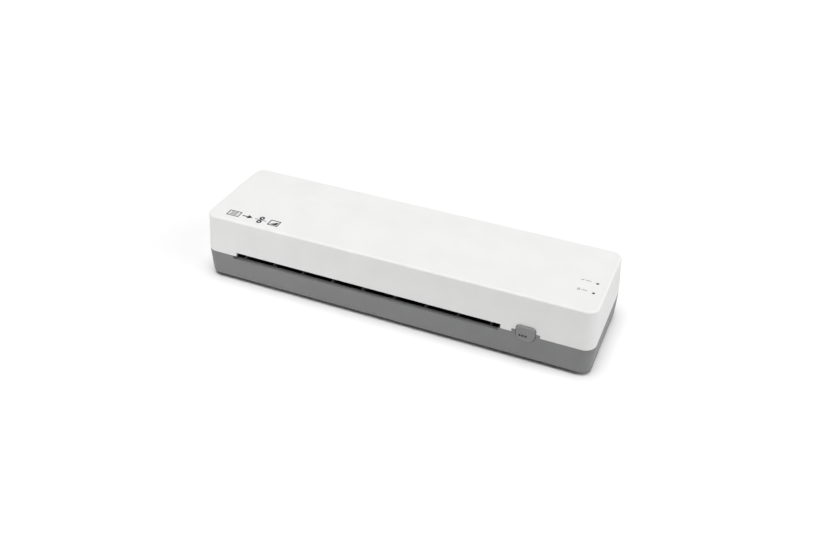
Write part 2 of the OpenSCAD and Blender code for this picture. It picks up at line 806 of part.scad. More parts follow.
module heater_holder_left() { heater_holder(frame_l, -1); }
module heater_holder_right() { heater_holder(frame_r, 1); }

module thermostat() {
  z = upper_bottom + heater_t + element_t + clamp_t;
  y = heater_front + heater_d / 2;
  color("#3b3b3b") {
    rod_z(z, z + 6, slot_x, y, 8);
    for (s = [-1, 1]) box(slot_x + s * 4 - 3, slot_x + s * 4 + 3, y - 0.4, y + 0.4, z + 5, z + 12);
  }
}

module thermal_fuse() {
  z = upper_bottom + heater_t + element_t + clamp_t;
  y = heater_front + heater_d / 2;
  color("#c9a227") {
    rod_x(30, 42, y, z + 2, 2);
    rod_x(22, 50, y, z + 2, 0.5);
  }
}

// ---------- pouch guides ----------

guide_l = frame_l + 0.2;
guide_r = frame_r - 0.2;

module infeed_guide_lower() {
  nose = lip_y + lip_edge + 0.3;
  front = rib_back + 0.3;
  back = heater_front - 2.5;
  color("#141414") along_x(guide_l, guide_r)
    polygon([[nose, guide_nose_z], [front, guide_nose_z], [front, seam_z - 2.7],
      [back, lower_top - 0.4], [back, lower_top - 5], [back - 1.6, lower_top - 5],
      [back - 1.6, lower_top - 2.2], [front + 1.6, guide_nose_z - 1.2], [nose, guide_nose_z - 1.2]]);
}

module infeed_guide_upper() {
  front = -hy + 3.2;
  back = heater_front - 2.5;
  color("#141414") along_x(guide_l, guide_r)
    polygon([[front, seam_z + slot_rise + 0.35], [back, upper_bottom + 0.3], [back, upper_bottom + 6],
      [back - 1.6, upper_bottom + 6], [back - 1.6, upper_bottom + 2.4],
      [front + 1.6, seam_z + slot_rise + 2.2], [front + 1.6, seam_z + slot_rise + 5],
      [front, seam_z + slot_rise + 5]]);
}

module exit_guide(low, z0, z1) {
  front = roller_y + 12;
  back = hy - 5.2;
  color("#141414") {
    box(guide_l, guide_r, front, back, low ? z0 : z1 - 1.6, low ? z0 + 1.6 : z1);
    for (k = [0:rib_count - 1]) let (x = rib_mid + (k - (rib_count - 1) / 2) * rib_pitch)
      box(x - rib_t / 2, x + rib_t / 2, front, back, z0, z1);
  }
}

module exit_guide_lower() { exit_guide(true, seam_z - exit_fall, pouch_z - 1.2); }
module exit_guide_upper() { exit_guide(false, pouch_z + 1.6, pouch_z + 6); }

// ---------- electronics ----------

module control_board() {
  pcb_t = 1.6;
  top = board_z + pcb_t;
  color("#2f6b3c") difference() {
    box(board_x - board_half, board_x + board_half, -29, 24, board_z, top);
    for (x = [board_x - post_off, board_x + post_off], y = [-26, 21]) rod_z(board_z - 1, top + 1, x, y, 1.2);
  }
  color("#e8e8e0") {
    box(board_x - 5.5, board_x + 5.5, -20, -11, top, top + 9);
    box(board_x - 5, board_x + 1, 10, 17, top, top + 6);
  }
}

module triac_heatsink() {
  top = board_z + 1.6;
  color("#cfd2d5") difference() {
    box(board_x - 6, board_x, -6, 8, top, top + 16);
    for (y = [-3.5, 0, 3.5]) box(board_x - 7, board_x - 1.5, y, y + 2, top + 3, top + 17);
  }
}

module board_capacitor() {
  color("#3553a0") rod_z(board_z + 1.6, board_z + 14, board_x + 3.4, 2, 3);
}

module board_screws() {
  color("silver") for (x = [board_x - post_off, board_x + post_off], y = [-26, 21]) {
    rod_z(board_z + 1.6, board_z + 3, x, y, 2.2);
    rod_z(board_z - 6, board_z + 1.7, x, y, 1.2);
  }
}

module rocker_housing() {
  wall_y = hy - (seam_z - rocker_z - 7.5) * tan(base_draft);
  color("#1c1c1c") difference() {
    union() {
      translate([rocker_x, 0, rocker_z]) along_y(wall_y, wall_y + 1.2)
        polygon(rounded_outline(21.6, 15, 1.5));
      box(rocker_x - 9.6, rocker_x + 9.6, hy - 15, wall_y + 0.5, rocker_z - 6.5, rocker_z + 6.5);
      for (s = [-1, 0, 1]) box(rocker_x + s * 6 - 0.4, rocker_x + s * 6 + 0.4, hy - 19, hy - 14,
        rocker_z - 2.4, rocker_z + 2.4);
    }
    box(rocker_x - 8.2, rocker_x + 8.2, hy - 6.5, hy + 3, rocker_z - 5.2, rocker_z + 5.2);
    rod_z(rocker_z - 6.6, rocker_z + 6.6, rocker_x, hy - 3, 1);
  }
}

// Two-position rocker on a vertical pin, drawn with its off side pressed in
module power_rocker() {
  half_w = 7.6;
  half_h = 4.8;
  color("#262626") translate([rocker_x, hy - 3, rocker_z]) rotate([0, 0, -rocker_tilt]) union() {
    rocker_body(half_w, half_h);
    rod_z(-6.4, 6.4, 0, 0, 1 - run_gap);
  }
}

module rocker_body(half_w, half_h) {
  translate([0, 0, -half_h]) linear_extrude(2 * half_h)
    polygon([[-half_w, 1.2], [-half_w, 2.4], [0, 1.4], [half_w, 2.4], [half_w, 1.2], [2, -1.4], [-2, -1.4]]);
}

module cable_gland() {
  wall_y = hy - (seam_z - gland_z - 7.5) * tan(base_draft);
  color("#1c1c1c") difference() {
    union() {
      rod_y(gland_in, hy + protrusion, gland_x, gland_z, 5.2);
      rod_y(wall_y, hy + protrusion, gland_x, gland_z, 7.5);
      rod_y(hy - 7.5, hy - 4, gland_x, gland_z, 7.5);
    }
    rod_y(gland_in - 1, hy + protrusion + 1, gland_x, gland_z, gland_bore);
  }
}

top_cover();
base_housing();
rubber_feet();
case_screws();
abs_button();
button_guide();
release_crank();
crank_pivot_pin();
crank_spring();
ready_lens();
power_lens();
led_board();
side_frame_left();
side_frame_right();
lower_roller_sleeve();
lower_roller_shaft();
upper_roller_sleeve();
upper_roller_shaft();
lower_bush_left();
lower_bush_right();
bearing_block_left();
bearing_block_right();
pressure_spring_left();
pressure_spring_right();
lower_roller_gear();
upper_roller_gear();
lower_shaft_clip();
upper_shaft_clip();
idler_stud();
idler_sleeve();
idler_gear();
motor_shaft();
drive_pinion();
gear_motor();
gear_plate();
motor_screws();
frame_screws();
lower_heater_plate();
upper_heater_plate();
lower_heating_element();
upper_heating_element();
lower_clamp_strip();
upper_clamp_strip();
heater_holder_left();
heater_holder_right();
thermostat();
thermal_fuse();
infeed_guide_lower();
infeed_guide_upper();
exit_guide_lower();
exit_guide_upper();
control_board();
triac_heatsink();
board_capacitor();
board_screws();
rocker_housing();
power_rocker();
cable_gland();
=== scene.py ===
"""Looks of a desktop pouch laminator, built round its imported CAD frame.

Lengths inside the functions are millimetres in the frame's axes (X right, front at -Y, Z up);
meshes are turned into metres when they are made.
"""
import json
import math

import bmesh
import bpy
from mathutils import Matrix, Vector


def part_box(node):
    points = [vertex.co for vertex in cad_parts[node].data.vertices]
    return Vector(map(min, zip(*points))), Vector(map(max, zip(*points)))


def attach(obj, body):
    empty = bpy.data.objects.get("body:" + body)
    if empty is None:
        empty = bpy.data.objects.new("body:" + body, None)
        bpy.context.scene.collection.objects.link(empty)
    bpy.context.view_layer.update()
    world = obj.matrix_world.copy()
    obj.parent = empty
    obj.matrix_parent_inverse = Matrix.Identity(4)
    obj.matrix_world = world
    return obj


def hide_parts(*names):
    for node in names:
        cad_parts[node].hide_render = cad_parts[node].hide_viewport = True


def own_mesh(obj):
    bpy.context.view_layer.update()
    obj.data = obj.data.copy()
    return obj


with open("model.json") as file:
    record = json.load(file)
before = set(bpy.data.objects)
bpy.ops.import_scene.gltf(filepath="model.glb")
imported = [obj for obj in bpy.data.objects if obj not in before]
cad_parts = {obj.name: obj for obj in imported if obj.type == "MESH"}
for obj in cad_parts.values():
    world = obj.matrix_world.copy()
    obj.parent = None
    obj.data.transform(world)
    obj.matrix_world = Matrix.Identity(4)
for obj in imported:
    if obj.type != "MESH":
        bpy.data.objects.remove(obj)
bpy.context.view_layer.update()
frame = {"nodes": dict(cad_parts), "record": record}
NODES = frame["nodes"]
MM = 0.001


def mm_box(node):
    """Lowest and highest corner of a CAD node in millimetres."""
    lo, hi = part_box(node)
    return lo / MM, hi / MM


COVER_LO, COVER_HI = mm_box("top_cover")
BASE_LO, BASE_HI = mm_box("base_housing")
BUTTON_LO, BUTTON_HI = mm_box("abs_button")

# ---------- sizes shared by the pieces ----------

HALF_L = COVER_HI.x
HALF_D = COVER_HI.y
TOP_Z = COVER_HI.z
SEAM_Z = COVER_LO.z
FLOOR_Z = BASE_LO.z
CORNER_R = 9.5
TOP_ROUND = 2.0
BOTTOM_ROUND = 2.5
FRONT_SLOPE = math.tan(math.radians(4.2))
REAR_SLOPE = math.tan(math.radians(2.2))
END_SLOPE = math.tan(math.radians(3.6))
BASE_SLOPE = math.tan(math.radians(1.75))
CREASE_Y = 6.3
REAR_DROP = 1.1
COVER_WALL = 2.2
BASE_WALL = 2.4
SKIN_GAP = 0.02
EDGE_BREAK = 0.3

SLOT_X = -21.4
SLOT_LEN = 234.2
SLOT_L = SLOT_X - SLOT_LEN / 2
SLOT_R = SLOT_X + SLOT_LEN / 2
SLOT_RISE = 3.75
TAB_RISE = 2.85
SCOOP_H = 6.1
SCOOP_L = SLOT_L - 3.4
SCOOP_R = SLOT_R - 1.6
LIP_Y = -HALF_D + 3
LIP_Z = SEAM_Z - 2.34
LIP_EDGE = 0.6
RIB_BACK = LIP_Y + 9.5
GUIDE_NOSE_Z = SEAM_Z - 5.8
RIB_LOW = GUIDE_NOSE_Z + 0.4
RIB_T = 1.2
RIB_PITCH = 27.4
RIB_XS = [-22.6 + RIB_PITCH * k for k in range(-4, 5)]
EXIT_RISE = 3.5
EXIT_FALL = 3.5

BUTTON_X = (BUTTON_LO.x + BUTTON_HI.x) / 2
BUTTON_Z = SEAM_Z + 1.05
BUTTON_W = 15.6
BUTTON_H = 13.5
BUTTON_R_TOP = 3.2
BUTTON_R_LOW = 5.5
WINDOW_GAP = 0.35
TAB_W = 22.6

COVER_RIB_XS = (-120, -60, 0, 60)
COVER_RIB_LOW = 54.5

# places of round parts, as (X, Y)
PILLARS = [(x, y) for x in (-156, 156) for y in (-35, 37.8)]
PILLAR_R = 3.9
FRAME_POSTS = [(x, y) for x in (-137, 95) for y in (-22, 34)] + [(143.5, y) for y in (-19, 34)]
BOARD_POSTS = [(x, y) for x in (-160.6, -151.8) for y in (-26, 21)]
CRANK_PIVOT = (BUTTON_X + 12, -19.14)
ROLLER_Y = 18.0
SCREW_R = 1.45
FEET = [(x, y) for x in (-138, 138) for y in (-32, 32)]
FOOT_R = 7.0
LED_X = 157.2
LED_YS = {"ready": -6.1, "power": -18.9}
LENS_R = 1.1

# places on the rear wall, as (X, Z)
GLAND = (-118.0, 13.0)
GLAND_HOLE_R = 5.2
ROCKER = (121.0, 14.0)
ROCKER_HOLE = (19.2, 13.0)

VENT_COUNT = 20
VENT_X = -98
VENT_PITCH = 8
VENT_W = 3
VENT_HALF_D = 12

PRESSURE_COIL_R = 2.7
PRESSURE_WIRE_R = 0.45
CRANK_COIL_R = 4.9
CRANK_WIRE_R = 0.4
COIL_TURNS = 4

CORNER_STEPS = 12
FILLET_STEPS = 6
ROUND_STEPS = 48


# ---------- mesh helpers ----------

def new_object(name, bm, smooth_angle=None):
    """Turns a bmesh in millimetres into a scene object in metres."""
    bmesh.ops.scale(bm, vec=(MM, MM, MM), verts=bm.verts)
    bmesh.ops.recalc_face_normals(bm, faces=bm.faces)
    mesh = bpy.data.meshes.new(name)
    bm.to_mesh(mesh)
    bm.free()
    obj = bpy.data.objects.new(name, mesh)
    bpy.context.scene.collection.objects.link(obj)
    if smooth_angle is not None:
        shade(obj, smooth_angle)
    return obj


def shade(obj, angle):
    """Smooth shading, with edges sharper than the angle (degrees) left hard."""
    mesh = obj.data
    bm = bmesh.new()
    bm.from_mesh(mesh)
    limit = math.radians(angle)
    for face in bm.faces:
        face.smooth = True
    for edge in bm.edges:
        edge.smooth = len(edge.link_faces) == 2 and edge.calc_face_angle(0) < limit
    bm.to_mesh(mesh)
    bm.free()


def ring_outline(half_x, half_y, r, steps=CORNER_STEPS, crease=None):
    """Rounded rectangle, anticlockwise; crease adds a point at that Y on both ends."""
    points = []
    corners = [(1, 1, 0), (-1, 1, 90), (-1, -1, 180), (1, -1, 270)]
    if crease is not None:
        points.append((half_x, crease))
    for n, (sx, sy, start) in enumerate(corners):
        for i in range(steps + 1):
            a = math.radians(start + 90 * i / steps)
            points.append((sx * (half_x - r) + r * math.cos(a), sy * (half_y - r) + r * math.sin(a)))
        if n == 1 and crease is not None:
            points.append((-half_x, crease))
    return points


def button_outline(grow, steps=CORNER_STEPS):
    """Outline of the release button in X and Z: tight upper corners, wide lower ones."""
    half_w, half_h = BUTTON_W / 2 + grow, BUTTON_H / 2 + grow
    top, low = max(BUTTON_R_TOP + grow, 0.6), max(BUTTON_R_LOW + grow, 0.6)
    points = []
    for sx, sy, r, start in ((1, 1, top, 0), (-1, 1, top, 90), (-1, -1, low, 180), (1, -1, low, 270)):
        for i in range(steps + 1):
            a = math.radians(start + 90 * i / steps)
            points.append((BUTTON_X + sx * (half_w - r) + r * math.cos(a),
                           BUTTON_Z + sy * (half_h - r) + r * math.sin(a)))
    return points


def loft(bm, rings, closed=False):
    """Quads between rings of points; returns the vertex rings."""
    made = [[bm.verts.new(p) for p in ring] for ring in rings]
    pairs = list(zip(made, made[1:])) + ([(made[-1], made[0])] if closed else [])
    for low, high in pairs:
        count = len(low)
        for i in range(count):
            j = (i + 1) % count
            bm.faces.new((low[i], low[j], high[j], high[i]))
    return made


def prism(bm, outline, axis, lo, hi):
    """Solid of an outline pushed along an axis: YZ along x, XZ along y, XY along z."""
    place = {
        "x": lambda p, d: (d, p[0], p[1]),
        "y": lambda p, d: (p[0], d, p[1]),
        "z": lambda p, d: (p[0], p[1], d),
    }[axis]
    low, high = loft(bm, [[place(p, lo) for p in outline], [place(p, hi) for p in outline]])
    bm.faces.new(low[::-1])
    bm.faces.new(high)


def bridge(bm, outer, inner):
    """Flat rim between the first rings of an outer and an inner loft."""
    count = len(outer)
    for i in range(count):
        j = (i + 1) % count
        bm.faces.new((outer[i], outer[j], inner[j], inner[i]))


def block(bm, x0, x1, y0, y1, z0, z1):
    """Box between two limits on each axis."""
    prism(bm, [(x0, y0), (x1, y0), (x1, y1), (x0, y1)], "z", z0, z1)


def circle(cx, cy, r, steps=ROUND_STEPS):
    return [(cx + r * math.cos(math.tau * i / steps), cy + r * math.sin(math.tau * i / steps))
            for i in range(steps)]


def rod(bm, axis, lo, hi, a, b, r, steps=ROUND_STEPS):
    """Cylinder along an axis; a and b are the other two coordinates in X, Y, Z order."""
    prism(bm, circle(a, b, r, steps), axis, lo, hi)


def revolve(bm, profile, centre, axis="z", steps=ROUND_STEPS):
    """Turned solid: profile is (radius, height) pairs from one end of the axis to the other."""
    place = {
        "z": lambda c, s, h: (centre[0] + c, centre[1] + s, centre[2] + h),
        "y": lambda c, s, h: (centre[0] + c, centre[1] + h, centre[2] + s),
        "x": lambda c, s, h: (centre[0] + h, centre[1] + c, centre[2] + s),
    }[axis]
    rings = []
    for r, h in profile:
        r = max(r, 0.001)
        rings.append([place(r * math.cos(math.tau * i / steps), r * math.sin(math.tau * i / steps), h)
                      for i in range(steps)])
    made = loft(bm, rings)
    bm.faces.new(made[0][::-1])
    bm.faces.new(made[-1])


def combine(target, build, operation):
    """Boolean of the target with the solid that build(bm) draws."""
    bm = bmesh.new()
    build(bm)
    tool = new_object("tool", bm)
    mod = target.modifiers.new("combine", "BOOLEAN")
    mod.operation = operation
    mod.object = tool
    mod.solver = "EXACT"
    bpy.context.view_layer.update()
    graph = bpy.context.evaluated_depsgraph_get()
    mesh = bpy.data.meshes.new_from_object(target.evaluated_get(graph))
    target.modifiers.clear()
    old = target.data
    target.data = mesh
    bpy.data.meshes.remove(old)
    bpy.data.objects.remove(tool)


def clean(obj, distance=0.004):
    """Joins points that booleans left almost together and dissolves edges and faces without size."""
    bm = bmesh.new()
    bm.from_mesh(obj.data)
    bmesh.ops.remove_doubles(bm, verts=bm.verts, dist=distance * MM)
    bmesh.ops.dissolve_degenerate(bm, edges=bm.edges, dist=distance * MM)
    bm.to_mesh(obj.data)
    bm.free()


def round_edges(obj, width, angle, segments=2):
    """Bevels the edges that are sharper than the angle (degrees)."""
    bevel = obj.modifiers.new("bevel", "BEVEL")
    bevel.width = width * MM
    bevel.segments = segments
    bevel.limit_method = "ANGLE"
    bevel.angle_limit = math.radians(angle)


def soften(obj, width, angle, segments=2):
    """Rounds hard edges and keeps flat faces looking flat."""
    round_edges(obj, width, angle, segments)
    weigh(obj)


def weigh(obj):
    """Normals weighted by face area, so narrow bevels don't tilt the shading of large faces."""
    normals = obj.modifiers.new("normals", "WEIGHTED_NORMAL")
    normals.keep_sharp = True
    normals.weight = 80


def finish_piece(obj, material, body, node=None):
    """Gives a piece its material and body, and hides the CAD node it stands for."""
    obj.data.materials.clear()
    obj.data.materials.append(material)
    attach(obj, body)
    if node:
        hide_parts(node)
    return obj


# ---------- materials ----------

class Graph:
    """Small helper round one node tree with object-space coordinates."""

    def __init__(self, name):
        self.material = bpy.data.materials.new(name)
        self.material.use_nodes = True
        self.nodes = self.material.node_tree.nodes
        self.links = self.material.node_tree.links
        self.shader = self.nodes["Principled BSDF"]
        self.coords = self.nodes.new("ShaderNodeTexCoord")

    def stretch(self, scale):
        mapping = self.nodes.new("ShaderNodeMapping")
        mapping.inputs["Scale"].default_value = scale
        self.links.new(self.coords.outputs["Object"], mapping.inputs["Vector"])
        return mapping.outputs["Vector"]

    def noise(self, scale, detail=3.0, vector=None):
        node = self.nodes.new("ShaderNodeTexNoise")
        node.inputs["Scale"].default_value = scale
        node.inputs["Detail"].default_value = detail
        self.links.new(vector or self.coords.outputs["Object"], node.inputs["Vector"])
        return node.outputs["Fac"]

    def cells(self, scale, vector=None):
        node = self.nodes.new("ShaderNodeTexVoronoi")
        node.inputs["Scale"].default_value = scale
        self.links.new(vector or self.coords.outputs["Object"], node.inputs["Vector"])
        return node.outputs["Distance"]

    def ramp(self, value, low, high, start=0.3, end=0.7):
        node = self.nodes.new("ShaderNodeValToRGB")
        node.color_ramp.elements[0].position = start
        node.color_ramp.elements[0].color = (*low, 1)
        node.color_ramp.elements[1].position = end
        node.color_ramp.elements[1].color = (*high, 1)
        self.links.new(value, node.inputs["Fac"])
        return node.outputs["Color"]

    def span(self, value, low, high):
        node = self.nodes.new("ShaderNodeMapRange")
        node.inputs["From Min"].default_value = 0.3
        node.inputs["From Max"].default_value = 0.7
        node.inputs["To Min"].default_value = low
        node.inputs["To Max"].default_value = high
        self.links.new(value, node.inputs["Value"])
        return node.outputs["Result"]

    def colour(self, value, low, high):
        self.links.new(self.ramp(value, low, high), self.shader.inputs["Base Color"])

    def roughness(self, value, low, high):
        self.links.new(self.span(value, low, high), self.shader.inputs["Roughness"])

    def bump(self, value, strength, distance, under=None):
        node = self.nodes.new("ShaderNodeBump")
        node.inputs["Strength"].default_value = strength
        node.inputs["Distance"].default_value = distance * MM
        self.links.new(value, node.inputs["Height"])
        if under:
            self.links.new(under, node.inputs["Normal"])
        return node.outputs["Normal"]

    def normal(self, output):
        self.links.new(output, self.shader.inputs["Normal"])

    def set(self, **values):
        for key, value in values.items():
            self.shader.inputs[key.replace("_", " ")].default_value = value


def shift(rgb, amount):
    """Colour made lighter or darker by a share, kept between 0 and 1."""
    return tuple(min(1.0, max(0.0, c * (1 + amount))) for c in rgb)


def moulded(name, rgb, rough=0.5, grain=1500.0, depth=0.012, strength=0.25, mottle=0.015, specular=0.4):
    """Injection-moulded plastic with a fine spark-eroded grain."""
    g = Graph(name)
    broad = g.noise(45.0, 2.0)
    fine = g.noise(grain, 2.0)
    g.colour(broad, shift(rgb, -mottle), shift(rgb, mottle))
    g.roughness(g.noise(grain * 0.4, 3.0), rough - 0.05, rough + 0.05)
    pits = g.bump(g.cells(grain * 0.9), strength * 0.5, depth)
    g.normal(g.bump(fine, strength, depth, pits))
    g.set(IOR=1.46, Specular_IOR_Level=specular)
    return g.material


def rubber(name, rgb, rough=0.75):
    """Dull rubber or silicone with a fine skin."""
    g = Graph(name)
    g.colour(g.noise(120.0, 4.0), shift(rgb, -0.15), shift(rgb, 0.2))
    g.roughness(g.noise(700.0), rough - 0.08, rough + 0.08)
    g.normal(g.bump(g.noise(2200.0, 2.0), 0.35, 0.03))
    g.set(IOR=1.5, Specular_IOR_Level=0.3, Sheen_Weight=0.08)
    return g.material


def metal(name, rgb, rough=0.3, along=(1.0, 40.0, 40.0), depth=0.01, spangle=0.0):
    """Rolled, drawn or ground metal; along stretches the grain down one axis."""
    g = Graph(name)
    lines = g.noise(160.0, 5.0, g.stretch(along))
    tone = g.cells(90.0) if spangle else g.noise(60.0, 4.0)
    g.colour(tone, shift(rgb, -0.07 - spangle), shift(rgb, 0.06 + spangle))
    g.roughness(lines, rough - 0.07, rough + 0.1)
    g.normal(g.bump(lines, 0.3, depth))
    g.set(Metallic=1.0)
    return g.material


def printed(name, rgb, rough=0.45):
    """Pad-printed ink: dense, slightly uneven."""
    g = Graph(name)
    g.colour(g.noise(900.0, 3.0), shift(rgb, -0.2), shift(rgb, 0.25))
    g.roughness(g.noise(1600.0), rough - 0.05, rough + 0.1)
    g.normal(g.bump(g.noise(3000.0), 0.15, 0.004))
    g.set(Specular_IOR_Level=0.35)
    return g.material


def lens(name, rgb):
    """Smoked acrylic light pipe."""
    g = Graph(name)
    g.colour(g.noise(800.0), shift(rgb, -0.1), shift(rgb, 0.15))
    g.roughness(g.noise(500.0), 0.08, 0.16)
    g.set(IOR=1.49, Specular_IOR_Level=0.5, Coat_Weight=0.3, Coat_Roughness=0.05)
    return g.material


def laminate(name, rgb):
    """Circuit board laminate under solder resist, with a faint weave."""
    g = Graph(name)
    weave = g.noise(900.0, 1.0, g.stretch((1.0, 0.25, 1.0)))
    g.colour(weave, shift(rgb, -0.2), shift(rgb, 0.25))
    g.roughness(g.noise(300.0), 0.25, 0.4)
    g.normal(g.bump(weave, 0.2, 0.01))
    g.set(Coat_Weight=0.35, Coat_Roughness=0.15)
    return g.material


MATERIALS = {
    "cover_white": moulded("cover_white", (0.835, 0.833, 0.828), rough=0.52, specular=0.25),
    "base_grey": moulded("base_grey", (0.235, 0.236, 0.237), rough=0.55, mottle=0.03, specular=0.35),
    "button_grey": moulded("button_grey", (0.25, 0.25, 0.252), rough=0.42, mottle=0.03),
    "foot_rubber": rubber("foot_rubber", (0.03, 0.03, 0.031)),
    "black_plastic": moulded("black_plastic", (0.012, 0.012, 0.013), rough=0.5, grain=900.0, mottle=0.1),
    "rocker_black": moulded("rocker_black", (0.014, 0.014, 0.015), rough=0.25, strength=0.1, mottle=0.1),
    "holder_brown": moulded("holder_brown", (0.075, 0.045, 0.03), rough=0.6, grain=500.0, mottle=0.2),
    "natural_plastic": moulded("natural_plastic", (0.7, 0.66, 0.56), rough=0.4, mottle=0.04),
    "gear_white": moulded("gear_white", (0.8, 0.79, 0.74), rough=0.38, mottle=0.03),
    "zinc_steel": metal("zinc_steel", (0.6, 0.6, 0.57), 0.32, (8.0, 8.0, 1.0)),
    "ground_steel": metal("ground_steel", (0.68, 0.68, 0.69), 0.16, (60.0, 4.0, 4.0), 0.003),
    "sheet_steel": metal("sheet_steel", (0.56, 0.57, 0.58), 0.34, (1.0, 6.0, 6.0), spangle=0.06),
    "motor_steel": metal("motor_steel", (0.5, 0.51, 0.52), 0.36, (1.0, 12.0, 12.0), spangle=0.03),
    "silicone_orange": rubber("silicone_orange", (0.58, 0.17, 0.045), 0.6),
    "plate_aluminium": metal("plate_aluminium", (0.75, 0.76, 0.77), 0.3, (1.0, 30.0, 30.0)),
    "element_foil": metal("element_foil", (0.5, 0.4, 0.24), 0.4, (3.0, 3.0, 3.0), 0.08),
    "smoke_lens": lens("smoke_lens", (0.055, 0.058, 0.06)),
    "board_green": laminate("board_green", (0.025, 0.14, 0.05)),
    "can_black": moulded("can_black", (0.015, 0.015, 0.016), rough=0.3, mottle=0.1),
    "fuse_brass": metal("fuse_brass", (0.75, 0.56, 0.22), 0.28),
    "capacitor_blue": moulded("capacitor_blue", (0.02, 0.06, 0.32), rough=0.25, strength=0.1),
}
INK = printed("print_black", (0.03, 0.03, 0.032))
INK_GREY = printed("print_grey", (0.05, 0.05, 0.052))


# ---------- camera ----------

def make_camera():
    """Three-quarter view from the front right and above, long side running down to the right."""
    azimuth, elevation, roll = math.radians(22.617), math.radians(35.805), math.radians(0.90)
    distance = 0.74183
    target = Vector((0.010609, -0.016950, 0.031961))
    back = Vector((math.sin(azimuth) * math.cos(elevation), -math.cos(azimuth) * math.cos(elevation),
                   math.sin(elevation)))
    right = Vector((0, 0, 1)).cross(back).normalized()
    up = back.cross(right)
    right_rolled = right * math.cos(roll) + up * math.sin(roll)
    up_rolled = up * math.cos(roll) - right * math.sin(roll)
    data = bpy.data.cameras.new("camera")
    data.lens = 39.88
    data.sensor_width = 36.0
    data.clip_start, data.clip_end = 0.01, 20.0
    cam = bpy.data.objects.new("camera", data)
    turn = Matrix((right_rolled, up_rolled, back)).transposed()
    cam.matrix_world = Matrix.Translation(target + back * distance) @ turn.to_4x4()
    bpy.context.scene.collection.objects.link(cam)
    bpy.context.scene.camera = cam


# ---------- casing ----------

def roof_z(y, peak):
    """Height of the top surface: level at the front, falling from the crease to the rear."""
    if y <= CREASE_Y:
        return peak
    run = HALF_D - CREASE_Y - 1.3
    return peak - REAR_DROP * (y - CREASE_Y) / run


def cover_rings(inset, peak, edge, start_z, steps):
    """Rings of the cover's outer skin, or of its cavity when inset is the wall."""
    rings = []
    rise = TOP_Z - SEAM_Z - TOP_ROUND

    def lean(y, climb):
        if y == CREASE_Y:
            return y
        return y + climb * FRONT_SLOPE if y < 0 else y - climb * REAR_SLOPE

    def ring(offset, r, climb, z_of):
        points = ring_outline(HALF_L - offset - climb * END_SLOPE, HALF_D - offset, r, crease=CREASE_Y)
        leaned = [(x, lean(y, climb)) for x, y in points]
        rings.append([(x, y, z_of(y)) for x, y in leaned])

    if inset == 0:
        ring(EDGE_BREAK, CORNER_R - EDGE_BREAK, 0, lambda y: start_z)
        ring(EDGE_BREAK * 0.3, CORNER_R - EDGE_BREAK * 0.3, 0, lambda y: start_z + EDGE_BREAK * 0.3)
        start_z += EDGE_BREAK
    ring(inset, CORNER_R - inset, start_z - SEAM_Z, lambda y: start_z)
    top_r = CORNER_R - 1 - inset
    for i in range(steps + 1):
        t = math.radians(90 * i / steps)
        slip = edge * (1 - math.cos(t))
        ring(inset + slip, top_r - slip, rise,
             lambda y, t=t: roof_z(y, peak) - edge + edge * math.sin(t))
    return rings


def close_roof(bm, ring):
    """Closes a ring with a front and a rear face that meet at the crease."""
    crease = [v for v in ring if abs(v.co.y - CREASE_Y) < 1e-6]
    right = max(crease, key=lambda v: v.co.x)
    k = ring.index(right)
    ordered = ring[k:] + ring[:k]
    left = min(crease, key=lambda v: v.co.x)
    split = ordered.index(left)
    bm.faces.new(ordered[:split + 1])
    bm.faces.new(ordered[split:] + [ordered[0]])


def mark_crease(obj):
    """Keeps the crease across the top crisp."""
    bm = bmesh.new()
    bm.from_mesh(obj.data)
    for edge in bm.edges:
        a, b = edge.verts
        level = all(abs(v.co.y / MM - CREASE_Y) < 0.01 for v in (a, b))
        if level and a.co.z / MM > TOP_Z - TOP_ROUND - 0.5 and b.co.z / MM > TOP_Z - TOP_ROUND - 0.5:
            edge.smooth = False
    bm.to_mesh(obj.data)
    bm.free()


def window(bm, gap):
    """Cutter of the button's window, wider than the button by the gap."""
    prism(bm, button_outline(gap), "y", -HALF_D - 5, -HALF_D + 7)


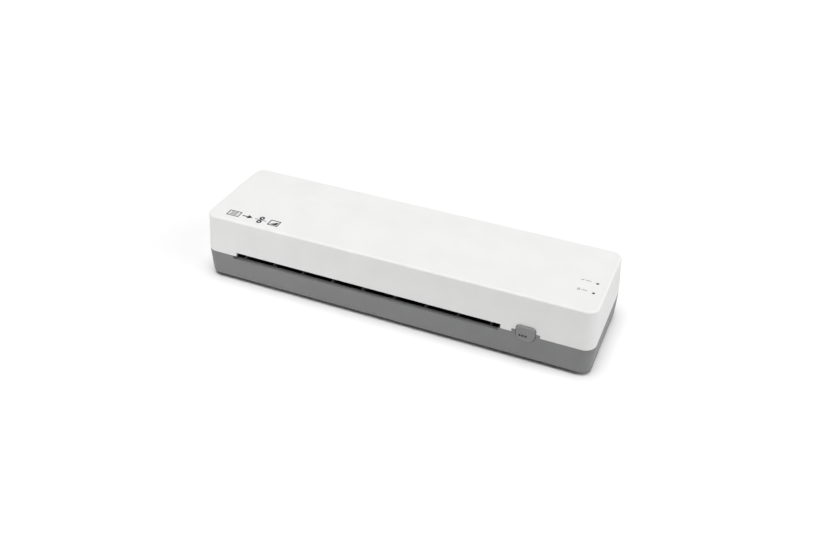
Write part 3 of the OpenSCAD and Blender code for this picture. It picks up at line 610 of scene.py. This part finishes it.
def make_cover():
    """White upper shell with slot mouth, button window, rear exit, screw pillars and ribs."""
    peak = TOP_Z - SKIN_GAP
    bm = bmesh.new()
    outer = loft(bm, cover_rings(0, peak, TOP_ROUND, SEAM_Z, FILLET_STEPS))
    close_roof(bm, outer[-1])
    inner = loft(bm, cover_rings(COVER_WALL, peak - COVER_WALL, 1.0, SEAM_Z, 3))
    close_roof(bm, inner[-1])
    bridge(bm, outer[0], inner[0])
    cover = new_object("cover_shell", bm)
    ceiling = peak - COVER_WALL

    def add(bm):
        for x, y in PILLARS:
            rod(bm, "z", SEAM_Z + 0.01, ceiling + 0.3 - (REAR_DROP if y > 0 else 0), x, y, PILLAR_R)
        for x in COVER_RIB_XS:
            prism(bm, [(-HALF_D + 4, COVER_RIB_LOW), (HALF_D - 4, COVER_RIB_LOW),
                       (HALF_D - 4, ceiling - 0.8), (CREASE_Y, ceiling + 0.3),
                       (-HALF_D + 4, ceiling + 0.3)], "x", x - 0.8, x + 0.8)
        for y in LED_YS.values():
            rod(bm, "z", ceiling - 1.6, ceiling + 0.3, LED_X, y, 2.6)
        middle = sum(LED_YS.values()) / 2
        rod(bm, "z", 53.4, ceiling + 0.3, LED_X - 5.2, middle, 2.0)

    def cut(bm):
        block(bm, SLOT_L, SLOT_R, -HALF_D - 5, -HALF_D + 8, SEAM_Z - 1, SEAM_Z + SLOT_RISE)
        block(bm, SLOT_L - 2, SLOT_R + 2, HALF_D - 8, HALF_D + 5, SEAM_Z - 1, SEAM_Z + EXIT_RISE)
        for x, y in PILLARS:
            rod(bm, "z", SEAM_Z - 1, SEAM_Z + 14, x, y, SCREW_R, 32)
        for y in LED_YS.values():
            revolve(bm, [(1.9, ceiling - 3), (1.9, ceiling - 0.2), (LENS_R + 0.05, ceiling - 0.2),
                         (LENS_R + 0.05, peak - 0.25), (LENS_R + 0.3, peak), (LENS_R + 0.3, peak + 1)],
                    (LED_X, y, 0), "z")

    def cut_tab(bm):
        block(bm, BUTTON_X - TAB_W / 2, BUTTON_X + TAB_W / 2, -HALF_D - 5, -HALF_D + 7, SEAM_Z - 1,
              SEAM_Z + TAB_RISE)

    combine(cover, add, "UNION")
    combine(cover, cut, "DIFFERENCE")
    combine(cover, cut_tab, "DIFFERENCE")
    combine(cover, lambda bm: window(bm, WINDOW_GAP), "DIFFERENCE")
    clean(cover)
    shade(cover, 32)
    mark_crease(cover)
    soften(cover, 0.22, 50)
    finish_piece(cover, MATERIALS["cover_white"], "root", "top_cover")


def base_rings(inset, edge, top_z, steps):
    """Rings of the base's outer skin, or of its cavity when inset is the wall."""
    rings = []
    low = FLOOR_Z + inset + edge

    def ring(offset, r, z):
        rings.append([(x, y, z) for x, y in ring_outline(HALF_L - offset, HALF_D - offset, r)])

    if inset == 0:
        ring(EDGE_BREAK, CORNER_R - EDGE_BREAK, top_z)
        ring(EDGE_BREAK * 0.3, CORNER_R - EDGE_BREAK * 0.3, top_z - EDGE_BREAK * 0.3)
        top_z -= EDGE_BREAK
    ring(inset + (SEAM_Z - top_z) * BASE_SLOPE, CORNER_R - inset, top_z)
    offset = inset + (SEAM_Z - low) * BASE_SLOPE
    for i in range(steps + 1):
        t = math.radians(90 * i / steps)
        slip = edge * (1 - math.cos(t))
        ring(offset + slip, CORNER_R - inset - slip, low - edge * math.sin(t))
    return rings


def make_base():
    """Grey lower shell with lip, slot ribs, tongue, posts, vents and rear openings."""
    bm = bmesh.new()
    outer = loft(bm, base_rings(0, BOTTOM_ROUND, SEAM_Z, 8))
    bm.faces.new(outer[-1])
    inner = loft(bm, base_rings(BASE_WALL, 1.6, SEAM_Z, 3))
    bm.faces.new(inner[-1][::-1])
    bridge(bm, outer[0], inner[0])
    base = new_object("base_shell", bm)

    def shelf(bm):
        prism(bm, [(-HALF_D + 1.6, LIP_Z - 7), (-HALF_D + 1.6, SEAM_Z - 0.02), (LIP_Y, SEAM_Z - 0.02),
                   (LIP_Y, LIP_Z), (LIP_Y + LIP_EDGE, LIP_Z), (LIP_Y + LIP_EDGE, GUIDE_NOSE_Z - 0.6)],
              "x", SLOT_L - 5, SLOT_R + 5)

    def tongue(bm):
        outer_loop = ring_outline(HALF_L - 2.45, HALF_D - 2.35, 7.1)
        inner_loop = ring_outline(HALF_L - 3.65, HALF_D - 3.55, 5.9)
        low, high = SEAM_Z - 4.5, SEAM_Z + 2
        loft(bm, [[(x, y, low) for x, y in outer_loop], [(x, y, high) for x, y in outer_loop],
                  [(x, y, high) for x, y in inner_loop], [(x, y, low) for x, y in inner_loop]], closed=True)

    def tab(bm):
        block(bm, BUTTON_X - TAB_W / 2 + 0.2, BUTTON_X + TAB_W / 2 - 0.2, -HALF_D + 0.12, -HALF_D + 3.2,
              SEAM_Z - 1, SEAM_Z + TAB_RISE - 0.15)

    def openings(bm):
        block(bm, SLOT_L - 2, SLOT_R + 2, -HALF_D - 5, RIB_BACK + 1, SEAM_Z, SEAM_Z + 5)
        block(bm, SLOT_L - 2, SLOT_R + 2, HALF_D - 8, HALF_D + 5, SEAM_Z - EXIT_FALL, SEAM_Z + 5)

    def ribs(bm):
        for x in RIB_XS:
            prism(bm, [(LIP_Y, RIB_LOW), (LIP_Y, LIP_Z + 0.2), (RIB_BACK - 1, SEAM_Z + 0.4),
                       (RIB_BACK, SEAM_Z + 0.4), (RIB_BACK, RIB_LOW)], "x", x - RIB_T / 2, x + RIB_T / 2)

    def posts(bm):
        low = FLOOR_Z + 1
        for x, y in PILLARS:
            rod(bm, "z", low, SEAM_Z - 0.1, x, y, PILLAR_R)
        for x, y in FRAME_POSTS:
            rod(bm, "z", low, 8, x, y, 4, 32)
        rod(bm, "z", low, 24, *CRANK_PIVOT, 4.2)
        for x, y in BOARD_POSTS:
            rod(bm, "z", low, 14, x, y, 2.6, 32)

    def drill(bm):
        for x, y in PILLARS:
            revolve(bm, [(3.2, FLOOR_Z - 1), (3.2, 13.5), (SCREW_R, 13.5), (SCREW_R, SEAM_Z + 1)],
                    (x, y, 0))
        for x, y in FRAME_POSTS:
            rod(bm, "z", FLOOR_Z + 1, 9, x, y, SCREW_R, 24)
        rod(bm, "z", 13.2, 27, *CRANK_PIVOT, 2.0, 32)
        for x, y in BOARD_POSTS:
            rod(bm, "z", 8, 15, x, y, 1.2, 24)
        for x, y in FEET:
            rod(bm, "z", FLOOR_Z - 1, FLOOR_Z + 0.5, x, y, FOOT_R + 0.2)
        for k in range(VENT_COUNT):
            x = VENT_X + VENT_PITCH * k
            block(bm, x, x + VENT_W, -VENT_HALF_D, VENT_HALF_D, FLOOR_Z - 1, FLOOR_Z + BASE_WALL + 1)
        rod(bm, "y", HALF_D - 6, HALF_D + 3, *GLAND, GLAND_HOLE_R)
        half_w, half_h = ROCKER_HOLE[0] / 2, ROCKER_HOLE[1] / 2
        block(bm, ROCKER[0] - half_w, ROCKER[0] + half_w, HALF_D - 6, HALF_D + 3,
              ROCKER[1] - half_h, ROCKER[1] + half_h)

    def button_room(bm):
        block(bm, BUTTON_X - 11, BUTTON_X + 11, -HALF_D + 2.3, -HALF_D + 7, SEAM_Z - 12, SEAM_Z + 9)

    combine(base, shelf, "UNION")
    combine(base, tongue, "UNION")
    combine(base, tab, "UNION")
    combine(base, scoop, "DIFFERENCE")
    combine(base, openings, "DIFFERENCE")
    combine(base, ribs, "UNION")
    combine(base, posts, "UNION")
    combine(base, drill, "DIFFERENCE")
    combine(base, lambda bm: window(bm, WINDOW_GAP), "DIFFERENCE")
    combine(base, button_room, "DIFFERENCE")
    clean(base)
    shade(base, 32)
    soften(base, 0.2, 50)
    finish_piece(base, MATERIALS["base_grey"], "root", "base_housing")


def scoop(bm):
    """Cutter of the sloping lip under the slot; its lower corners are round seen from the front."""
    middle = (SCOOP_L + SCOOP_R) / 2
    half = (SCOOP_R - SCOOP_L) / 2
    front, back, r = -HALF_D - 5, LIP_Y + 7, 3.0
    slope = (LIP_Z - (SEAM_Z - SCOOP_H)) / (LIP_Y + HALF_D)
    turns = [math.radians(180 + 90 * i / 8) for i in range(9)]
    left = [(-half + r + r * math.cos(a), -SCOOP_H + r + r * math.sin(a)) for a in turns]
    skirt = [(-half, 5.0)] + left + [(-x, z) for x, z in reversed(left)] + [(half, 5.0)]
    rings = []
    for y in (front, LIP_Y, back):
        ramp = LIP_Z + min(0.0, y - LIP_Y) * slope
        rings.append([(middle + x, y, max(SEAM_Z + z, ramp)) for x, z in skirt])
    made = loft(bm, rings)
    bm.faces.new(made[0][::-1])
    bm.faces.new(made[-1])


# ---------- small outside pieces ----------

def make_button():
    """Domed push button with a retaining flange and a stem behind the wall."""
    front = BUTTON_LO.y + 0.17
    flange_y = -HALF_D + 3.15
    bm = bmesh.new()
    profile = [(0, flange_y + 0.5), (0, front + 1.6), (0.1, front + 1.15), (0.4, front + 0.7),
               (0.85, front + 0.38), (1.5, front + 0.18), (2.6, front + 0.07), (4.2, front + 0.02),
               (6.0, front)]
    made = loft(bm, [[(x, y, z) for x, z in button_outline(-inset)] for inset, y in profile])
    bm.faces.new(made[0][::-1])
    bm.faces.new(made[-1])
    prism(bm, button_outline(1.5), "y", flange_y, flange_y + 1.5)
    stem_z = 26.9
    revolve(bm, [(2.5, flange_y + 1), (2.5, BUTTON_HI.y - 0.4), (2.1, BUTTON_HI.y)],
            (BUTTON_X, 0, stem_z), "y")
    button = new_object("push_button", bm, 40)
    weigh(button)
    finish_piece(button, MATERIALS["button_grey"], "abs_button", "abs_button")
    bm = bmesh.new()
    for k in (-1, 0, 1):
        dome = [(0, 0.4), (1, 0.4), (1, 0.1), (0.92, 0.03), (0.65, 0), (0, 0)]
        revolve(bm, dome, (BUTTON_X - 1.8 + 2.4 * k, BUTTON_LO.y + 0.02, BUTTON_Z - 1.4), "y", 24)
    dots = new_object("button_dots", bm, 40)
    finish_piece(dots, INK, "abs_button")


def make_lenses():
    """Light pipes of the two lamps, domed at the top and with a collar under the roof."""
    for name, y in LED_YS.items():
        lo, hi = mm_box(name + "_lens")
        bm = bmesh.new()
        dome = [(LENS_R * math.cos(math.radians(a)), hi.z - 0.35 + 0.35 * math.sin(math.radians(a)))
                for a in range(0, 91, 15)]
        shoulder = TOP_Z - SKIN_GAP - COVER_WALL
        collar = [(LENS_R, shoulder - 1.7), (1.85, shoulder - 1.7), (1.85, shoulder - 0.25),
                  (LENS_R, shoulder - 0.25)]
        revolve(bm, [(LENS_R, lo.z)] + collar + dome, (LED_X, y, 0))
        piece = new_object(name + "_light_pipe", bm, 40)
        finish_piece(piece, MATERIALS["smoke_lens"], "root", name + "_lens")


def make_feet():
    """Four round feet with grooved soles."""
    bm = bmesh.new()
    for x, y in FEET:
        profile = [(0, 0.25), (1.6, 0.25), (1.9, 0), (3.1, 0), (3.4, 0.25), (4.3, 0.25), (4.6, 0),
                   (FOOT_R - 1.2, 0), (FOOT_R - 0.5, 0.2), (FOOT_R - 0.12, 0.6), (FOOT_R, 1.1),
                   (FOOT_R, 3.0), (0, 3.0)]
        revolve(bm, profile, (x, y, 0))
    feet = new_object("feet", bm, 30)
    weigh(feet)
    finish_piece(feet, MATERIALS["foot_rubber"], "root", "rubber_feet")


def bar(bm, x0, y0, x1, y1, width, z0, z1):
    """Straight printed stroke with square ends."""
    run = Vector((x1 - x0, y1 - y0, 0))
    side = Vector((-run.y, run.x, 0)).normalized() * width / 2
    outline = [(x0 + side.x, y0 + side.y), (x0 - side.x, y0 - side.y),
               (x1 - side.x, y1 - side.y), (x1 + side.x, y1 + side.y)]
    prism(bm, outline, "z", z0, z1)


def arc(bm, cx, cy, r, width, a0, a1, z0, z1, steps=28):
    """Printed arc or, over 360 degrees, a ring."""
    turns = [math.radians(a0 + (a1 - a0) * i / steps) for i in range(steps + 1)]
    near, far = r - width / 2, r + width / 2
    for s, e in zip(turns, turns[1:]):
        outline = [(cx + q * math.cos(t), cy + q * math.sin(t))
                   for q, t in ((near, s), (far, s), (far, e), (near, e))]
        prism(bm, outline, "z", z0, z1)


def frame_strokes(bm, x, y, w, h, line, z0, z1):
    """Printed rectangle outline, centred on (x, y)."""
    half_line = line / 2
    for side in (-1, 1):
        edge_x, edge_y = x + side * w / 2, y + side * h / 2
        bar(bm, x - w / 2 - half_line, edge_y, x + w / 2 + half_line, edge_y, line, z0, z1)
        bar(bm, edge_x, y - h / 2 + half_line, edge_x, y + h / 2 - half_line, line, z0, z1)


def make_print():
    """Pictograms on the cover: pouch loading at the left, power and ready marks at the right."""
    z0, z1 = TOP_Z - SKIN_GAP - 0.03, TOP_Z - 0.002
    mid = -32.6
    sheet_x, arrow_x, rollers_x, print_x = -144.6, -131.6, -119.4, -106.6
    bm = bmesh.new()
    frame_strokes(bm, sheet_x, mid, 10.6, 6.8, 0.9, z0, z1)
    for k in (-1.7, 0, 1.7):
        bar(bm, sheet_x - 3.3, mid + k, sheet_x + 3.3, mid + k, 0.75, z0, z1)
    bar(bm, arrow_x - 5, mid, arrow_x + 0.2, mid, 1.2, z0, z1)
    prism(bm, [(arrow_x, mid - 2.6), (arrow_x + 4.6, mid), (arrow_x, mid + 2.6)], "z", z0, z1)
    for s in (-1, 1):
        arc(bm, rollers_x, mid + s * 2.75, 1.55, 1.5, 0, 360, z0, z1)
    bar(bm, rollers_x - 5.2, mid, rollers_x + 5.2, mid, 0.7, z0, z1)
    frame_strokes(bm, print_x, mid, 8.6, 6.8, 0.9, z0, z1)
    prism(bm, [(print_x - 3.2, mid - 2.4), (print_x + 3.2, mid - 2.4), (print_x + 3.2, mid + 2.4)],
          "z", z0, z1)
    icons = new_object("pouch_pictograms", bm)
    finish_piece(icons, INK, "root")
    # power mark: broken ring and stroke; ready mark: tick; each with a short leader to its lamp
    bm = bmesh.new()
    for kind, led_y in LED_YS.items():
        cx, cy = LED_X - 11.6, led_y + 0.9
        if kind == "power":
            arc(bm, cx, cy, 0.95, 0.42, 120, 420, z0, z1, 16)
            bar(bm, cx, cy + 0.2, cx, cy + 1.4, 0.42, z0, z1)
        else:
            bar(bm, cx - 0.95, cy + 0.1, cx - 0.25, cy - 0.75, 0.44, z0, z1)
            bar(bm, cx - 0.3, cy - 0.75, cx + 1.1, cy + 1.0, 0.44, z0, z1)
        bar(bm, cx + 2.3, cy, cx + 6.6, cy, 0.5, z0, z1)
    marks = new_object("lamp_marks", bm)
    finish_piece(marks, INK_GREY, "root")


def make_rocker():
    """Curved rocker paddle on its pivot rod, drawn with its off end pressed in."""
    pivot = Vector((ROCKER[0], HALF_D - 3, ROCKER[1]))
    turn = Matrix.Rotation(math.radians(-10), 4, "Z")
    half_w, half_h = 7.6, 4.8
    bm = bmesh.new()
    outline = []
    for i in range(17):
        x = -half_w + 2 * half_w * i / 16
        outline.append((x, 1.45 + 0.95 * (abs(x) / half_w) ** 1.6))
    outline += [(half_w, 1.2), (2, -1.4), (-2, -1.4), (-half_w, 1.2)]
    prism(bm, outline, "z", -half_h, half_h)
    rod(bm, "z", -6.4, 6.4, 0, 0, 0.95, 24)
    bmesh.ops.transform(bm, matrix=Matrix.Translation(pivot) @ turn, verts=bm.verts)
    paddle = new_object("rocker_paddle", bm, 40)
    soften(paddle, 0.35, 50, 3)
    finish_piece(paddle, MATERIALS["rocker_black"], "power_rocker", "power_rocker")


def helix_tube(bm, centre, r, wire, turns, z0, z1, legs=()):
    """Spring wire as a swept tube; legs are straight points added before and after the coil."""
    steps, sides = 36, 12
    path = [Vector((r * math.cos(math.tau * i / steps), r * math.sin(math.tau * i / steps),
                    z0 + (z1 - z0) * i / (steps * turns))) for i in range(steps * turns + 1)]
    if legs:
        path = [Vector(legs[0])] + path + [Vector(legs[1])]
    rings = []
    last = len(path) - 1
    for i, p in enumerate(path):
        d = (path[min(i + 1, last)] - path[max(i - 1, 0)]).normalized()
        n = d.cross(Vector((0, 0, 1))).normalized()
        b = n.cross(d)
        rings.append([Vector(centre) + p + wire * (math.cos(math.tau * s / sides) * n
                                                   + math.sin(math.tau * s / sides) * b)
                      for s in range(sides)])
    made = loft(bm, rings)
    bm.faces.new(made[0][::-1])
    bm.faces.new(made[-1])


def make_springs():
    """Two coil springs over the bearing blocks and the crank's torsion spring."""
    for side in ("left", "right"):
        node = "pressure_spring_" + side
        lo, hi = mm_box(node)
        centre = ((lo.x + hi.x) / 2, ROLLER_Y, 0)
        bm = bmesh.new()
        helix_tube(bm, centre, PRESSURE_COIL_R, PRESSURE_WIRE_R, COIL_TURNS,
                   lo.z + PRESSURE_WIRE_R, hi.z - PRESSURE_WIRE_R)
        spring = new_object("pressure_coil_" + side, bm, 60)
        finish_piece(spring, MATERIALS["zinc_steel"], "root", node)
        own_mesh(spring)
    lo, hi = mm_box("crank_spring")
    bm = bmesh.new()
    low, high = lo.z + CRANK_WIRE_R, hi.z - CRANK_WIRE_R
    helix_tube(bm, (*CRANK_PIVOT, 0), CRANK_COIL_R, CRANK_WIRE_R, COIL_TURNS, low, high,
               [(CRANK_COIL_R, -7, low), (CRANK_COIL_R, 7, high)])
    coil = new_object("crank_coil", bm, 60)
    finish_piece(coil, MATERIALS["zinc_steel"], "root", "crank_spring")


# ---------- carried-over CAD nodes ----------

# edge rounding of the nodes that have one, in millimetres
BEVELLED = {"side_frame_left": 0.15, "side_frame_right": 0.15, "gear_plate": 0.15, "rocker_housing": 0.3,
            "cable_gland": 0.3, "gear_motor": 0.4, "lower_heater_plate": 0.3, "upper_heater_plate": 0.3,
            "heater_holder_left": 0.3, "heater_holder_right": 0.3, "button_guide": 0.3,
            "bearing_block_left": 0.3, "bearing_block_right": 0.3, "thermostat": 0.3,
            "exit_guide_lower": 0.2, "exit_guide_upper": 0.2, "infeed_guide_lower": 0.25,
            "infeed_guide_upper": 0.25, "lower_roller_sleeve": 0.4, "upper_roller_sleeve": 0.4}


def finish_nodes():
    """Materials and softened edges for the CAD nodes that stay in view."""
    slots = {s["node"]: s["material_slot"] for s in frame["record"]["subparts"]}
    for name, obj in NODES.items():
        obj.data.materials.clear()
        obj.data.materials.append(MATERIALS[slots[name]])
        if obj.hide_render:
            continue
        obj.data.polygons.foreach_set("use_smooth", [True] * len(obj.data.polygons))
        weld = obj.modifiers.new("weld", "WELD")
        weld.merge_threshold = 0.002 * MM
        flat = obj.modifiers.new("flat", "DECIMATE")
        flat.decimate_type = "DISSOLVE"
        flat.angle_limit = math.radians(0.5)
        if name in BEVELLED:
            round_edges(obj, BEVELLED[name], 50)
        split = obj.modifiers.new("split", "EDGE_SPLIT")
        split.split_angle = math.radians(35)
        split.use_edge_sharp = False
        weigh(obj)


# ---------- surroundings ----------

# distant lamps: name, azimuth, elevation, power, spread
LAMPS = [("front", 5, 58, 0.08, 50), ("right", 95, 30, 0.85, 50), ("overhead", 0, 86, 2.86, 40)]


def make_studio():
    """Pale floor with a slowly rising rim, dim sky, three broad distant lamps and a small low panel."""
    bm = bmesh.new()
    half_widths_and_heights = [(5100, -20), (5100, 430), (5000, 430), (3000, 0)]
    made = loft(bm, [[(a, a, z), (-a, a, z), (-a, -a, z), (a, -a, z)]
                     for a, z in half_widths_and_heights])
    bm.faces.new(made[0][::-1])
    bm.faces.new(made[-1])
    floor = new_object("studio_floor", bm)
    g = Graph("floor_paper")
    g.colour(g.noise(6.0, 3.0), (0.93, 0.93, 0.93), (0.94, 0.94, 0.94))
    g.roughness(g.noise(200.0), 0.85, 0.95)
    g.normal(g.bump(g.noise(900.0), 0.05, 0.02))
    g.set(Specular_IOR_Level=0.1)
    floor.data.materials.append(g.material)
    world = bpy.data.worlds.new("studio")
    world.use_nodes = True
    sky = world.node_tree.nodes["Background"]
    sky.inputs["Color"].default_value = (1, 1, 1, 1)
    sky.inputs["Strength"].default_value = 0.02
    bpy.context.scene.world = world
    for settings in LAMPS:
        lamp(*settings)
    panel(Vector((-0.42, -0.5, 0.07)), Vector((-0.168, -0.046, 0.04)), 0.42, 0.1)
    bpy.context.scene.view_settings.view_transform = "Standard"


def lamp(name, azimuth, elevation, power, spread):
    """Distant soft lamp; azimuth turns from the front towards the right."""
    data = bpy.data.lights.new(name, "SUN")
    data.energy = power
    data.angle = math.radians(spread)
    light = bpy.data.objects.new(name, data)
    a, e = math.radians(azimuth), math.radians(elevation)
    towards = Vector((math.sin(a) * math.cos(e), -math.cos(a) * math.cos(e), math.sin(e)))
    light.location = towards * 3
    light.rotation_mode = "QUATERNION"
    light.rotation_quaternion = towards.to_track_quat("Z", "Y")
    bpy.context.scene.collection.objects.link(light)


def panel(place, aim, watts, size):
    """Small low panel that lifts the left end of the front a little."""
    data = bpy.data.lights.new("panel", "AREA")
    data.energy = watts
    data.size = size
    light = bpy.data.objects.new("panel", data)
    light.location = place
    light.rotation_mode = "QUATERNION"
    light.rotation_quaternion = (place - aim).to_track_quat("Z", "Y")
    bpy.context.scene.collection.objects.link(light)


make_camera()
make_cover()
make_base()
make_button()
make_lenses()
make_feet()
make_print()
make_rocker()
make_springs()
finish_nodes()
make_studio()
